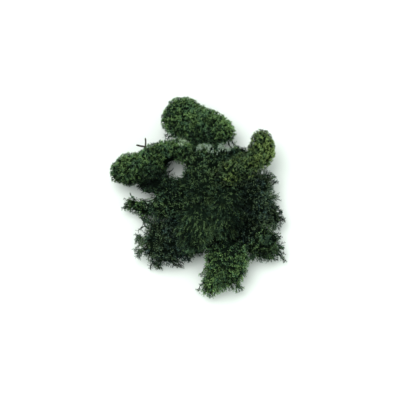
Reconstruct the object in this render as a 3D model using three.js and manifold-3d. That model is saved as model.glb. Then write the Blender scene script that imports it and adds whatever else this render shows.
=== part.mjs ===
// A clump of preserved reindeer moss, lying on a table: cushions and tufts of one branching lichen,
// hooked into each other. Millimetres, +Z up, +Y away from the viewer. The origin is a point of the
// flat spot that the heart of the clump rests on, under its weight.
import * as THREE from "three";
import { mergeVertices } from "three/addons/utils/BufferGeometryUtils.js";
import Module from "manifold-3d";

const wasm = await Module();
wasm.setup();

// Driving sizes
const GAP = 0.4; // air left between two tufts that press on each other
const FLOOR_AIR = 0.3; // a branch ends this far above the table, or higher
const STALK_TOP = 1.25; // radius of a short stalk where it forks
const STEM_RADIUS = 1.1; // of a long branch where it leaves its tuft
const FORK_RADIUS = 0.8; // of each arm of a long branch
const SINK = 3; // how deep a long branch is rooted in its tuft
const BUMP = 0.045; // height of the low bumps on a lobe, as a share of its half sizes
const LEAN = 0.55; // how strongly stars and branches lean away from their tuft's root
const UPRIGHT = 0.6; // least share of a star's way that points straight out of its face
const UNDERSIDE = -0.5; // a face that looks further down than this stays plain
const TRIES = 12; // ways a star is bent and shortened before it is left out
const LONG_TRIES = 60; // places tried for the long branches of a tuft
const REACH = 24; // stars and branches further apart than this can't touch
const TABLE = 300; // half side of the block that the clump is cut flat by
const SMALLEST = 0.02; // detail finer than this is left out of the joined solids
const SEED = 20417;

// Every tuft: the root that it grows away from, the length of its tips, its lobes (centre, half
// sizes, turn about Z and pitch in degrees, how much thicker it is towards its own +X end, how finely
// it is divided, and whether its tips stand on stalks), and its long branches (how many, how long,
// and the way they point).
const tufts = [
  {
    name: "head_top",
    colour: 0x35502c,
    root: [2, 44, 2],
    length: 5.0,
    lobes: [
      { at: [-11, 54.5, 16], half: [12.5, 12, 11.5], turn: 0, pitch: 0, swell: -0.03, detail: 2, stalks: false },
      { at: [8.5, 48, 14], half: [14, 8.5, 9.5], turn: -22, pitch: 0, swell: -0.05, detail: 2, stalks: false },
      { at: [2, 37.5, 8], half: [14, 5, 7], turn: -8, pitch: 0, swell: 0, detail: 1, stalks: false },
    ],
    long: { count: 2, length: 6, way: [1, -0.1, 0] },
  },
  {
    name: "head_left",
    colour: 0x2c4a2a,
    root: [-24, 22, 2],
    length: 4.6,
    lobes: [
      { at: [-47, 19, 14], half: [13, 9, 9.5], turn: 15, pitch: 4, swell: -0.04, detail: 2, stalks: false },
      { at: [-22.5, 29, 14], half: [18, 8, 9], turn: 13, pitch: 0, swell: -0.05, detail: 2, stalks: false },
    ],
    long: { count: 1, length: 6, way: [0.2, 1, 0.2] },
  },
  {
    name: "head_right",
    colour: 0x4a6234,
    root: [18, 10, 16],
    length: 4.4,
    lobes: [
      { at: [42.5, 32, 23], half: [11, 7, 8.5], turn: 85, pitch: 5, swell: -0.05, detail: 1, stalks: true },
      { at: [27.5, 17.5, 25], half: [15, 7, 8], turn: 26, pitch: 0, swell: 0.04, detail: 2, stalks: false },
    ],
    long: { count: 1, length: 5.5, way: [0.6, 0.6, -0.2] },
  },
  {
    name: "tuft_centre",
    colour: 0x2f4d2b,
    root: [0, 4, 18],
    length: 6.2,
    lobes: [
      { at: [-2, -19.5, 23], half: [15.5, 9.5, 8], turn: 78, pitch: 8, swell: -0.1, detail: 1, stalks: true },
    ],
    long: { count: 3, length: 8, way: [-0.1, -1, 0.1] },
  },
  {
    name: "tuft_inner_right",
    colour: 0x28442f,
    root: [16, 16, 18],
    length: 6.2,
    lobes: [
      { at: [18, -10, 25], half: [16.5, 9.5, 8], turn: 86, pitch: 6, swell: -0.1, detail: 1, stalks: true },
    ],
    long: { count: 3, length: 8, way: [0.1, -1, 0.1] },
  },
  {
    name: "tuft_mid",
    colour: 0x2a4629,
    root: [6, 14, 2],
    length: 5.4,
    lobes: [
      { at: [-0.5, 4.5, 19], half: [15, 11.5, 8], turn: -20, pitch: 0, swell: 0, detail: 1, stalks: true },
    ],
    long: { count: 0, length: 8, way: [-0.6, 1, -0.1] },
  },
  {
    name: "tuft_back",
    colour: 0x25402a,
    root: [6, 14, 2],
    length: 5.2,
    lobes: [
      { at: [7, 24, 14], half: [20, 9.5, 11], turn: 2, pitch: 0, swell: 0, detail: 2, stalks: false },
      { at: [25, 29.5, 9], half: [8, 5, 7], turn: 0, pitch: 0, swell: 0, detail: 1, stalks: false },
    ],
    long: { count: 1, length: 7, way: [0.6, 1, -0.1] },
  },
  {
    name: "tuft_inner_left",
    colour: 0x223c28,
    root: [-6, 0, 0],
    length: 5.2,
    lobes: [
      { at: [-21, -1.5, 12.5], half: [17, 13, 11.5], turn: -12, pitch: 0, swell: 0, detail: 2, stalks: false },
      { at: [-32, 10.5, 8], half: [9.5, 7, 7], turn: -10, pitch: 0, swell: 0, detail: 1, stalks: false },
    ],
    long: { count: 2, length: 7, way: [-1, 0.6, 0] },
  },
  {
    name: "tuft_right",
    colour: 0x223c2a,
    root: [24, -2, 2],
    length: 5.6,
    lobes: [
      { at: [36.5, -4, 14], half: [14, 19, 12.5], turn: 0, pitch: 0, swell: 0, detail: 2, stalks: false },
      { at: [47, -13, 9], half: [8.5, 6, 7], turn: -20, pitch: 0, swell: 0, detail: 1, stalks: false },
    ],
    long: { count: 2, length: 7, way: [1, -0.4, -0.1] },
  },
  {
    name: "tuft_low_right",
    colour: 0x27422a,
    root: [26, -16, 2],
    length: 5.4,
    lobes: [
      { at: [41.5, -30.5, 9], half: [14, 11, 7.5], turn: -28, pitch: -2, swell: -0.1, detail: 1, stalks: true },
    ],
    long: { count: 5, length: 8, way: [0.6, -0.8, 0] },
  },
  {
    name: "tuft_bottom",
    colour: 0x34522c,
    root: [18, -22, 6],
    length: 5.2,
    lobes: [
      { at: [19, -45.5, 13], half: [16.5, 12.5, 11], turn: 84, pitch: 6, swell: -0.02, detail: 2, stalks: false },
      { at: [8.5, -58.5, 8], half: [8, 4.5, 6], turn: 75, pitch: 6, swell: 0, detail: 1, stalks: false },
    ],
    long: { count: 3, length: 7, way: [-0.3, -1, -0.1] },
  },
  {
    name: "tuft_low_left",
    colour: 0x20382a,
    root: [-4, -14, 2],
    length: 5.4,
    lobes: [
      { at: [-19, -29, 11], half: [18.5, 15, 10], turn: 24, pitch: 0, swell: -0.08, detail: 2, stalks: false },
      { at: [-4, -34, 8], half: [9, 6.5, 6.5], turn: 0, pitch: 0, swell: 0, detail: 1, stalks: false },
    ],
    long: { count: 7, length: 8, way: [-1, -0.35, 0] },
  },
  {
    name: "spray_left",
    colour: 0x27442a,
    root: [-26, -4, 8],
    length: 3.6,
    lobes: [
      { at: [-39, -5, 8], half: [9.5, 3.8, 4.2], turn: -20, pitch: -3, swell: -0.1, detail: 1, stalks: false },
    ],
    long: { count: 2, length: 5, way: [-1, 0.2, 0] },
  },
  {
    name: "tuft_heart",
    colour: 0x1c3024,
    root: [8, -6, 0],
    length: 3.2,
    lobes: [
      { at: [7, -5.5, 10], half: [32, 24, 11.8], turn: -38, pitch: 0, swell: 0, detail: 1, stalks: false },
      { at: [12, 11.5, 18], half: [7, 6, 6], turn: 0, pitch: 0, swell: 0, detail: 1, stalks: false },
      { at: [30, -23.5, 15], half: [9, 8, 7], turn: 0, pitch: 0, swell: 0, detail: 1, stalks: false },
      { at: [9, -29.5, 14], half: [7, 7, 6], turn: 0, pitch: 0, swell: 0, detail: 1, stalks: false },
    ],
    long: { count: 0, length: 8, way: [0, 0, 1] },
  },
];

// Seeded random numbers from 0 to 1 (mulberry32).
function randomFrom(seed) {
  let state = seed >>> 0;
  return () => {
    state = (state + 0x6d2b79f5) >>> 0;
    let t = state;
    t = Math.imul(t ^ (t >>> 15), t | 1);
    t ^= t + Math.imul(t ^ (t >>> 7), t | 61);
    return ((t ^ (t >>> 14)) >>> 0) / 4294967296;
  };
}

const vector = (list) => new THREE.Vector3(...list);

// How far out a lobe's surface lies in a unit direction of its own frame, as a share of its half
// sizes: thicker towards one end, with the low bumps of the smaller heads in it.
function lobeFactor(lobe, u) {
  const bumps =
    Math.sin(5.1 * u.x + 2.3 * u.z + lobe.phase) * Math.sin(4.3 * u.y - 3.1 * u.x + lobe.phase) +
    0.6 * Math.sin(7.7 * u.z + 6.1 * u.y + 2 * lobe.phase);
  return 1 + lobe.swell * u.x + BUMP * bumps;
}

for (const tuft of tufts)
  for (const lobe of tuft.lobes) {
    const turn = THREE.MathUtils.degToRad(lobe.turn);
    const pitch = THREE.MathUtils.degToRad(lobe.pitch);
    lobe.centre = vector(lobe.at);
    lobe.halves = vector(lobe.half);
    lobe.facing = new THREE.Quaternion().setFromEuler(new THREE.Euler(0, pitch, turn, "ZYX"));
    lobe.back = lobe.facing.clone().invert();
    lobe.phase = 0.37 * lobe.at[0] + 0.53 * lobe.at[1];
  }

// A point of a lobe's surface, grown outwards by some millimetres, for a unit direction.
function lobePoint(lobe, u, grown = 0) {
  return u
    .clone()
    .multiply(lobe.halves.clone().addScalar(grown))
    .multiplyScalar(lobeFactor(lobe, u))
    .applyQuaternion(lobe.facing)
    .add(lobe.centre);
}

// Above 1 outside the lobe grown by some millimetres, below 1 inside it.
function lobeDepth(lobe, point, grown) {
  const u = point
    .clone()
    .sub(lobe.centre)
    .applyQuaternion(lobe.back)
    .divide(lobe.halves.clone().addScalar(grown));
  const r = u.length();
  return r / lobeFactor(lobe, u.divideScalar(Math.max(r, 1e-6)));
}

// The outward normal of a lobe at a point near its surface.
function lobeNormal(lobe, point) {
  return point
    .clone()
    .sub(lobe.centre)
    .applyQuaternion(lobe.back)
    .divide(lobe.halves)
    .divide(lobe.halves)
    .applyQuaternion(lobe.facing)
    .normalize();
}

// A manifold solid from points and the triangles between them.
function solidFrom(points, faces) {
  return new wasm.Manifold(
    new wasm.Mesh({
      numProp: 3,
      vertProperties: new Float32Array(points.flatMap((p) => p.toArray())),
      triVerts: new Uint32Array(faces.flat()),
    }),
  );
}

// The divided ball that a lobe is made from: unit directions and the triangles between them. The
// directions are nudged, so that the stalks stand in no pattern.
function dividedBall(lobe) {
  const ball = new THREE.IcosahedronGeometry(1, lobe.detail);
  ball.deleteAttribute("normal");
  ball.deleteAttribute("uv");
  const merged = mergeVertices(ball, 1e-4);
  const random = randomFrom(SEED + Math.round(97 * (lobe.phase + 50)));
  const nudge = 0.3 / (lobe.detail + 1);
  const directions = [];
  for (let i = 0; i < merged.attributes.position.count; i++) {
    const u = new THREE.Vector3().fromBufferAttribute(merged.attributes.position, i);
    u.add(new THREE.Vector3(random() - 0.5, random() - 0.5, random() - 0.5).multiplyScalar(nudge));
    directions.push(u.normalize());
  }
  const index = merged.index.array;
  const faces = [];
  for (let i = 0; i < index.length; i += 3) faces.push([index[i], index[i + 1], index[i + 2]]);
  return { directions, faces };
}

// The plain body of a tuft, grown outwards: what its neighbours are hollowed by where they press.
function bodySolid(tuft, grown) {
  return tuft.lobes
    .map((lobe) => {
      const { directions, faces } = dividedBall(lobe);
      return solidFrom(directions.map((u) => lobePoint(lobe, u, grown)), faces);
    })
    .reduce((a, b) => a.add(b));
}

// Two unit directions square to a direction and to each other.
function across(direction) {
  const side = new THREE.Vector3(0, 0, 1).cross(direction);
  if (side.lengthSq() < 0.01) side.set(1, 0, 0).projectOnPlane(direction);
  side.normalize();
  return [side, direction.clone().cross(side).normalize()];
}

function middleOf(places) {
  return places
    .reduce((sum, place) => sum.add(place), new THREE.Vector3())
    .divideScalar(places.length);
}

// Three places round a centre, square to a direction. start turns them.
function ringPlaces(centre, first, second, radius, start) {
  return [0, 1, 2].map((k) => {
    const angle = start + (k * 2 * Math.PI) / 3;
    const out = first.clone().multiplyScalar(Math.cos(angle));
    out.addScaledVector(second, Math.sin(angle));
    return centre.clone().addScaledVector(out, radius);
  });
}

// An even ring round a centre, each place facing its own corner of the ring it is drawn out from.
function drawnPlaces(from, centre, direction, radius) {
  const middle = middleOf(from);
  const corners = from.map((place) => place.clone().sub(middle).projectOnPlane(direction));
  const first = corners[0].clone().normalize();
  const second = direction.clone().cross(first).normalize();
  const angles = corners.map((c) => Math.atan2(c.dot(second), c.dot(first)));
  const opened = angles.map((angle) => (angle < -1e-6 ? angle + 2 * Math.PI : angle));
  const start = (opened.reduce((sum, angle) => sum + angle) - 2 * Math.PI) / 3;
  return ringPlaces(centre, first, second, radius, start);
}

// A star on a ring of three places: a hub that is raised by a share of the tips' length, and three
// tips that splay from it.
function starOn(ring, direction, length, raise, splay) {
  const centre = middleOf(ring);
  const hub = centre.clone().addScaledVector(direction, raise * length);
  const feet = ring.map((place, k) => middleOf([place, ring[(k + 1) % 3], hub]));
  const ends = feet.map((foot) => {
    const out = foot.clone().sub(centre).projectOnPlane(direction).normalize();
    const way = direction.clone().addScaledVector(out, splay).normalize();
    return foot.clone().addScaledVector(way, length);
  });
  return { hub, feet, ends };
}

// The straight stretches of a star's tips, for keeping branches apart.
function tipStretches(star, radius) {
  return star.ends.map((end, k) => ({ a: star.feet[k].clone().lerp(end, 0.2), b: end, r: radius }));
}

// A mesh that grows: a ring of three points is drawn out, forked in three, or closed in tips.
class GrowingMesh {
  constructor() {
    this.points = [];
    this.faces = [];
  }
  add(place) {
    return this.points.push(place) - 1;
  }
  walls(low, high) {
    for (let k = 0; k < 3; k++) {
      const n = (k + 1) % 3;
      this.faces.push([low[k], low[n], high[n]], [low[k], high[n], high[k]]);
    }
  }
  // The three small rings between a ring and a hub.
  fork(ring, place) {
    const hub = this.add(place);
    return [0, 1, 2].map((k) => [ring[k], ring[(k + 1) % 3], hub]);
  }
  tip(ring, place) {
    const end = this.add(place);
    for (let k = 0; k < 3; k++) this.faces.push([ring[k], ring[(k + 1) % 3], end]);
  }
  star(ring, star) {
    this.fork(ring, star.hub).forEach((part, k) => this.tip(part, star.ends[k]));
  }
  solid() {
    return solidFrom(this.points, this.faces);
  }
}

// Whether a star or branch stands clear of the table and of the bodies of all other tufts.
function clearOfBodies(list, own) {
  for (const { a, b, r } of list)
    for (const share of [0.2, 0.6, 1]) {
      const point = a.clone().lerp(b, share);
      if (point.z - 0.8 * r < FLOOR_AIR) return false;
      for (const tuft of tufts) {
        if (tuft === own) continue;
        for (const lobe of tuft.lobes) if (lobeDepth(lobe, point, GAP + 0.8 * r) < 1) return false;
      }
    }
  return true;
}

// Least distance between two straight stretches.
function between(p, q) {
  const d1 = p.b.clone().sub(p.a);
  const d2 = q.b.clone().sub(q.a);
  const r = p.a.clone().sub(q.a);
  const a = d1.dot(d1);
  const e = d2.dot(d2);
  const f = d2.dot(r);
  const c = d1.dot(r);
  const b = d1.dot(d2);
  const denominator = a * e - b * b;
  const clamp = THREE.MathUtils.clamp;
  let s = denominator > 1e-9 ? clamp((b * f - c * e) / denominator, 0, 1) : 0;
  let t = (b * s + f) / e;
  if (t < 0 || t > 1) {
    t = clamp(t, 0, 1);
    s = clamp((b * t - c) / a, 0, 1);
  }
  return p.a
    .clone()
    .addScaledVector(d1, s)
    .distanceTo(q.a.clone().addScaledVector(d2, t));
}

const standing = []; // the stretches of every star and branch so far, with the tuft and part it is of

// Whether a star or branch stands clear of all those of other tufts, and of those that grow from
// another part of its own tuft.
function clearOfBranches(list, own, part) {
  const middle = list[0].b;
  for (const other of standing) {
    if (other.part === part || other.middle.distanceTo(middle) > REACH) continue;
    const share = other.tuft === own ? 0.5 : 1;
    for (const p of list)
      for (const q of other.list) if (between(p, q) < share * (p.r + q.r + GAP)) return false;
  }
  return true;
}

// Whether a point lies in another lobe of its own tuft, or within half a millimetre of one.
function insideOwn(point, tuft, except) {
  return tuft.lobes.some((lobe) => lobe !== except && lobeDepth(lobe, point, 0.5) < 1);
}

// The way a star or branch grows from a base: out of the surface, away from the tuft's root, and
// bent a little more with every attempt.
function growth(tuft, base, normal, random, attempt) {
  const away = base.clone().sub(vector(tuft.root)).normalize();
  const bend = new THREE.Vector3(random() - 0.5, random() - 0.5, random() - 0.25);
  return normal
    .clone()
    .addScaledVector(away, LEAN)
    .addScaledVector(bend, 0.35 + 0.09 * attempt)
    .normalize();
}

// Whether the straight line between two places passes through a triangle.
function passesThrough(from, to, [a, b, c]) {
  const way = to.clone().sub(from);
  const ab = b.clone().sub(a);
  const ac = c.clone().sub(a);
  const h = way.clone().cross(ac);
  const size = ab.dot(h);
  if (Math.abs(size) < 1e-9) return false;
  const s = from.clone().sub(a);
  const u = s.dot(h) / size;
  if (u < 0 || u > 1) return false;
  const q = s.cross(ab);
  const v = way.dot(q) / size;
  if (v < 0 || u + v > 1) return false;
  const t = ac.dot(q) / size;
  return t > 0 && t < 1;
}

// Whether two triangles cross. Edges that end in a shared corner are left out.
function cross(p, q) {
  const pierces = (edges, face) =>
    edges.some((from, k) => {
      const to = edges[(k + 1) % 3];
      return !face.includes(from) && !face.includes(to) && passesThrough(from, to, face);
    });
  return pierces(p, q) || pierces(q, p);
}

// A stretch of a lobe's skin: its triangles, each with the box round it, and the box round them all.
function skinOf(triangles) {
  const boxes = triangles.map((triangle) => new THREE.Box3().setFromPoints(triangle));
  const whole = boxes.reduce((sum, box) => sum.union(box), new THREE.Box3());
  return { triangles, boxes, whole };
}

function skinsCross(one, other) {
  if (!one.whole.intersectsBox(other.whole)) return false;
  return one.triangles.some(
    (p, i) =>
      one.boxes[i].intersectsBox(other.whole) &&
      other.triangles.some((q, j) => one.boxes[i].intersectsBox(other.boxes[j]) && cross(p, q)),
  );
}

function starTriangles(ring, star) {
  return ring.flatMap((place, k) => {
    const foot = [place, ring[(k + 1) % 3], star.hub];
    return foot.map((corner, n) => [corner, foot[(n + 1) % 3], star.ends[k]]);
  });
}

function wallTriangles(low, high) {
  return low.flatMap((place, k) => {
    const n = (k + 1) % 3;
    return [
      [place, low[n], high[n]],
      [place, high[n], high[k]],
    ];
  });
}

// What grows from one face: a star on a stalk in an open tuft, and straight from the face in a close
// one. Null where there is no room for it.
function growthOn(corners, tuft, lobe, random, fits) {
  const base = middleOf(corners);
  const [a, b, c] = corners;
  const normal = b.clone().sub(a).cross(c.clone().sub(a)).normalize();
  if (insideOwn(base, tuft, lobe) || normal.z < UNDERSIDE) return null;
  for (let attempt = 0; attempt < TRIES; attempt++) {
    const direction = growth(tuft, base, normal, random, attempt);
    const length = tuft.length * (0.85 + 0.35 * random()) * (1 - 0.05 * attempt);
    if (direction.dot(normal) < UPRIGHT) continue;
    const list = corners.map((corner) => ({ a: corner, b: base, r: 0.3 }));
    let ring = corners;
    let star;
    let walls = [];
    if (lobe.stalks) {
      const top = base.clone().addScaledVector(direction, 0.52 * length);
      ring = drawnPlaces(corners, top, direction, STALK_TOP * (0.85 + 0.3 * random()));
      star = starOn(ring, direction, 0.5 * length, 0.12, 0.9 + 0.4 * random());
      walls = wallTriangles(corners, ring);
      list.forEach((stretch) => (stretch.b = top));
      list.push({ a: base, b: top, r: STALK_TOP + 0.2 }, ...tipStretches(star, 0.5));
    } else {
      const splay = (0.1 + 0.35 * random()) * (1 - 0.08 * attempt);
      star = starOn(ring, direction, 0.75 * length, 0.3, splay);
      list.forEach((stretch) => (stretch.b = star.hub));
      list.push(...tipStretches(star, 0.8));
    }
    if (!clearOfBodies(list, tuft) || !clearOfBranches(list, tuft, lobe)) continue;
    const skin = skinOf([...walls, ...starTriangles(ring, star)]);
    if (!fits(skin)) continue;
    standing.push({ tuft, part: lobe, list, middle: star.hub });
    return { ring, star, skin };
  }
  return null;
}

// A lobe with its faces drawn out into stars. A face that presses on a neighbour, or on the table,
// stays as it is.
function lobeSolid(tuft, lobe, random) {
  const { directions, faces } = dividedBall(lobe);
  const mesh = new GrowingMesh();
  directions.forEach((u) => mesh.add(lobePoint(lobe, u)));
  const skins = faces.map((face) => skinOf([face.map((i) => mesh.points[i])]));
  faces.forEach((face, index) => {
    const fits = (skin) => !skins.some((other, n) => n !== index && skinsCross(skin, other));
    const corners = face.map((i) => mesh.points[i]);
    const grown = growthOn(corners, tuft, lobe, random, fits);
    if (!grown) {
      mesh.faces.push(face);
      return;
    }
    skins[index] = grown.skin;
    let ring = face;
    if (lobe.stalks) {
      ring = grown.ring.map((place) => mesh.add(place));
      mesh.walls(face, ring);
    }
    mesh.star(ring, grown.star);
  });
  return mesh.solid();
}

// A long branch: a stem that forks into three arms, each with a star of three tips.
function longPlan(base, direction, length, random) {
  const [side, up] = across(direction);
  const spin = random() * 2 * Math.PI;
  const root = base.clone().addScaledVector(direction, -SINK);
  const fork = base.clone().addScaledVector(direction, 0.45 * length);
  const foot = ringPlaces(root, side, up, 1.2 * STEM_RADIUS, spin);
  const top = ringPlaces(fork, side, up, STEM_RADIUS, spin);
  const hub = fork.clone().addScaledVector(direction, 0.25 * STEM_RADIUS);
  const list = [{ a: base, b: fork, r: STEM_RADIUS }];
  const arms = [0, 1, 2].map((k) => {
    const part = [top[k], top[(k + 1) % 3], hub];
    const out = middleOf(part).sub(fork).projectOnPlane(direction).normalize();
    const way = direction.clone().addScaledVector(out, 0.75 + 0.3 * random()).normalize();
    const end = fork.clone().addScaledVector(way, (0.32 + 0.1 * random()) * length);
    const ring = drawnPlaces(part, end, way, FORK_RADIUS);
    const star = starOn(ring, way, (0.24 + 0.08 * random()) * length, 0.12, 1);
    list.push({ a: fork, b: end, r: FORK_RADIUS }, ...tipStretches(star, 0.4));
    return { ring, star };
  });
  return { foot, top, hub, arms, list };
}

// The closed solid of a planned long branch, with its foot sunk into the tuft.
function longSolid(plan) {
  const mesh = new GrowingMesh();
  const foot = plan.foot.map((place) => mesh.add(place));
  const top = plan.top.map((place) => mesh.add(place));
  mesh.faces.push([foot[2], foot[1], foot[0]]);
  mesh.walls(foot, top);
  mesh.fork(top, plan.hub).forEach((part, k) => {
    const ring = plan.arms[k].ring.map((place) => mesh.add(place));
    mesh.walls(part, ring);
    mesh.star(ring, plan.arms[k].star);
  });
  return mesh.solid();
}

// The long branches of a tuft, on the side that they point to.
function longSolids(tuft, random) {
  const solids = [];
  const way = vector(tuft.long.way).normalize();
  for (let tried = 0; tried < LONG_TRIES && solids.length < tuft.long.count; tried++) {
    const lobe = tuft.lobes[tried % tuft.lobes.length];
    const u = way.clone().applyQuaternion(lobe.back);
    u.add(new THREE.Vector3(random() - 0.5, random() - 0.5, random() - 0.5).multiplyScalar(2.2));
    const base = lobePoint(lobe, u.normalize());
    if (insideOwn(base, tuft, lobe)) continue;
    const direction = growth(tuft, base, lobeNormal(lobe, base), random, 1)
      .addScaledVector(way, 0.5)
      .normalize();
    const plan = longPlan(base, direction, tuft.long.length * (0.9 + 0.3 * random()), random);
    if (!clearOfBodies(plan.list, tuft) || !clearOfBranches(plan.list, tuft, plan)) continue;
    standing.push({ tuft, part: plan, list: plan.list, middle: plan.hub });
    solids.push(longSolid(plan));
  }
  return solids;
}

// The block below the surface that the clump lies on.
function tableSolid() {
  const mesh = new GrowingMesh();
  const corners = [-TABLE, TABLE].flatMap((x) => [-TABLE, TABLE].map((y) => [x, y]));
  for (const z of [-TABLE, 0]) for (const [x, y] of corners) mesh.add(vector([x, y, z]));
  mesh.faces.push([0, 1, 3], [0, 3, 2], [4, 7, 5], [4, 6, 7]);
  for (const [a, b] of [[0, 2], [2, 3], [3, 1], [1, 0]])
    mesh.faces.push([a, b, b + 4], [a, b + 4, a + 4]);
  return mesh.solid();
}

// A solid's mesh in the scene.
function meshOf(tuft, solid) {
  const { vertProperties, triVerts } = solid.getMesh();
  const geometry = new THREE.BufferGeometry();
  geometry.setAttribute("position", new THREE.BufferAttribute(vertProperties.slice(), 3));
  geometry.setIndex(new THREE.BufferAttribute(triVerts.slice(), 1));
  const finish = { color: tuft.colour, roughness: 0.9, metalness: 0 };
  const mesh = new THREE.Mesh(geometry, new THREE.MeshStandardMaterial(finish));
  mesh.name = tuft.name;
  return mesh;
}

// Slivers that a cut leaves beside the tuft itself are dropped.
function largest(solid) {
  return solid.decompose().sort((a, b) => b.volume() - a.volume())[0];
}

const table = tableSolid();
const clump = new THREE.Group();
tufts.forEach((tuft, index) => {
  const random = randomFrom(SEED + 101 * index);
  const long = longSolids(tuft, random);
  const lobes = tuft.lobes.map((lobe) => lobeSolid(tuft, lobe, random));
  const neighbours = tufts.slice(0, index).map((above) => bodySolid(above, GAP));
  const grown = [...lobes, ...long].reduce((a, b) => a.add(b));
  const body = [...neighbours, table].reduce((a, b) => a.subtract(b), grown);
  clump.add(meshOf(tuft, largest(body.simplify(SMALLEST))));
});

export default clump;
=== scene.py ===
import math
from random import Random

import bmesh
import bpy
import numpy as np
from bpy.props import FloatProperty, FloatVectorProperty, IntProperty, PointerProperty
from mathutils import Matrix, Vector, kdtree


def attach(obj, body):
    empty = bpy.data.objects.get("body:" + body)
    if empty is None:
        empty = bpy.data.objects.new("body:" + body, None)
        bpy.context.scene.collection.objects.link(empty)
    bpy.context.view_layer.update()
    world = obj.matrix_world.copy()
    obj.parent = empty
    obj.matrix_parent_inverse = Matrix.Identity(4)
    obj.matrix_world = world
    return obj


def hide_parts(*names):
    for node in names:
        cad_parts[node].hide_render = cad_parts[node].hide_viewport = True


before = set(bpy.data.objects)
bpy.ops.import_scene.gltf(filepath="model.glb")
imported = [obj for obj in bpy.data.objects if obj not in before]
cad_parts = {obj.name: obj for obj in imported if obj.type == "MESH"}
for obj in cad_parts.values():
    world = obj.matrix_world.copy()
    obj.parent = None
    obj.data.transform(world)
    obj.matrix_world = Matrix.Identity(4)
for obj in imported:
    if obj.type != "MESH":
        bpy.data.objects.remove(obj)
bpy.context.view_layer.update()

bl_info = {
    "name": "Reindeer Moss Clump",
    "version": (1, 0, 0),
    "blender": (4, 5, 0),
    "location": "3D View > Sidebar > Moss",
    "description": "A clump of preserved reindeer moss, grown from a few modelled sprigs",
    "category": "Object",
}

MM = 0.001
MAP = "OFBake"  # across: a column for each hue, from a sprig's foot to its tips; up: the tone of the sprig
HUES = 5
# The hue and tone of the pale sprigs that paint light in the creases
PAINTED_LIGHT_HUE, PAINTED_LIGHT_TONE = 4, 0.7
SEED = 20417
CAMERA_HEIGHT = math.radians(80)  # how steeply the camera looks down
SIGHT = math.sin(CAMERA_HEIGHT), math.cos(CAMERA_HEIGHT)  # how far up in view a step in Y, or in Z, goes


class Tuft:
    """How one tuft lies and grows. Places and lengths are in millimetres, tones from 0 to 1.

    root, spring: where it grows from, and what its sprigs lean away from if that is another place
    length, stretch: of a sprig, and how much longer and thinner than modelled it is drawn
    lean, loose: how far the sprigs lean away from there, and how far they fan out in small bunches
    ragged, branches: how uneven its sides are, and how much of the solid's long branches it keeps
    dye, tone: its colour and how pale it is
    reach, fade: how far from the root the growth is youngest, and how much paler it is there
    lobes: for each a centre, half sizes, turn about Z and pitch in degrees, and swell towards its own +X end
    """

    def __init__(
        self, root, length, tone, lobes, spring=None, stretch=1.0, lean=0.8, loose=0.9, ragged=0.1,
        branches=1.0, dye="sea", reach=34.0, fade=0.3,
    ):
        self.root, self.spring = np.array(root, float), np.array(spring or root, float)
        self.length, self.stretch, self.lean, self.loose = length, stretch, lean, loose
        self.ragged, self.branches = ragged, branches
        self.dye, self.tone, self.reach, self.fade = dye, tone, reach, fade
        self.lobes = lobes


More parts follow.
